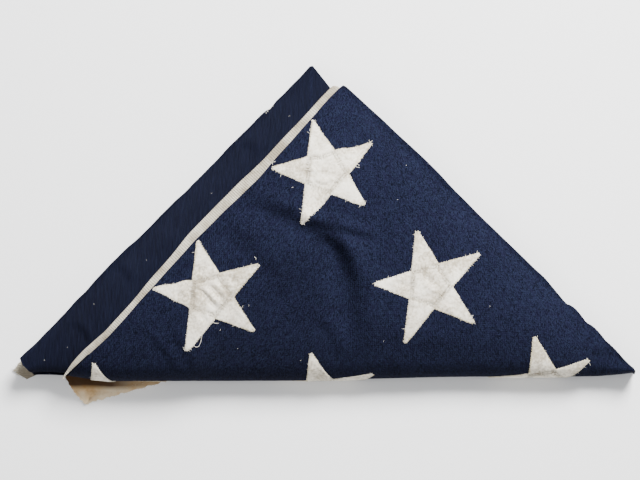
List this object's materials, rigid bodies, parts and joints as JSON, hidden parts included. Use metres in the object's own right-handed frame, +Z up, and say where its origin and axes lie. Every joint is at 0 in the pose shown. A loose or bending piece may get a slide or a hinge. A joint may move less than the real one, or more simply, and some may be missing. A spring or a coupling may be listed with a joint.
{
  "type": "folded tattered flag",
  "caption": "Worn cotton flag folded into a soft triangle, dark blue with sewn off-white stars, a white folded stripe showing along one edge and a loose cream corner.",
  "frame": {"origin": "under the middle of the object's box, on the surface it lies on", "axes": "+Z up out of the starred face, +X along the long bottom fold, +Y towards the top corner"},
  "size_m": [0.5319, 0.2864, 0.0523],
  "materials": {
    "blue_cotton": "matt navy cotton twill, worn",
    "white_cotton": "greyed white cotton, fine ribs",
    "cream_cotton": "yellowed cream cotton",
    "star_cotton": "off-white cotton, machine-stitched and frayed at the edges"
  },
  "bodies": {
    "root": {"blue_field": "blue_cotton", "white_stripe": "white_cotton", "white_stripe_end": "white_cotton", "cream_corner": "cream_cotton", "star_1": "star_cotton", "star_2": "star_cotton", "star_3": "star_cotton", "star_4": "star_cotton", "star_5": "star_cotton", "star_6": "star_cotton"}
  },
  "joints": []
}
